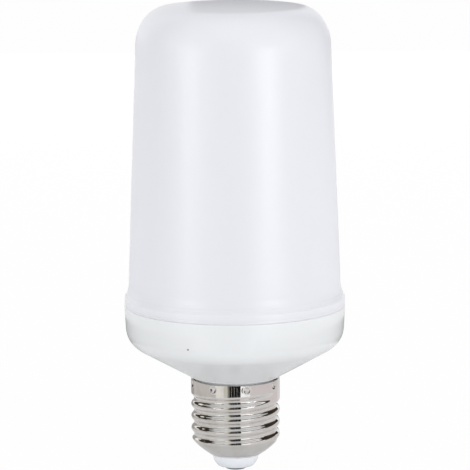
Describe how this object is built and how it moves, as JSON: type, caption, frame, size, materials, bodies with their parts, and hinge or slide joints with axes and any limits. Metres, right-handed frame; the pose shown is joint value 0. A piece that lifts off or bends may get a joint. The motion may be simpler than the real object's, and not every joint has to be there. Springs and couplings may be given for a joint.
{
  "type": "flame effect led bulb",
  "caption": "Screw-cap LED lamp with a tall frosted cover over a wrapped lamp board that flickers like a flame.",
  "frame": {"origin": "tip of the centre contact, on the lamp's axis", "axes": "+Z along the lamp's axis, from the centre contact to the crown of the cover; -Y is the front"},
  "size_m": [0.0652, 0.0652, 0.1382],
  "materials": {
    "cover": "satin translucent milky white",
    "housing_white": "glossy moulded white",
    "nickel": "bright nickel plate",
    "insulator_white": "moulded white",
    "contact_tin": "tinned",
    "frame_white": "moulded white",
    "lamp_board_white": "white solder mask",
    "led_yellow": "phosphor",
    "board_green": "solder mask",
    "capacitor_sleeve": "shrink sleeve",
    "chip_black": "moulded",
    "coil_sleeve": "shrink sleeve",
    "resistor": "lacquer",
    "can_steel": "plated can",
    "screw_steel": "zinc plated",
    "lead_sheath": "soft sheath"
  },
  "bodies": {
    "root": {"diffuser": "cover", "housing": "housing_white", "screw_shell": "nickel", "insulator": "insulator_white", "centre_contact": "contact_tin", "base_plate": "frame_white", "base_screws": "screw_steel", "core_tube": "frame_white", "flex_board": "lamp_board_white", "flame_leds": "led_yellow", "end_plate": "frame_white", "top_board": "lamp_board_white", "top_leds": "led_yellow", "driver_board": "board_green", "bulk_capacitor": "capacitor_sleeve", "bridge_rectifier": "chip_black", "inductor": "coil_sleeve", "fuse_resistor": "resistor", "driver_chip": "chip_black", "flame_chip": "chip_black", "tilt_switch": "can_steel", "live_wire": "lead_sheath", "neutral_wire": "lead_sheath", "board_link": "lead_sheath"}
  },
  "joints": []
}
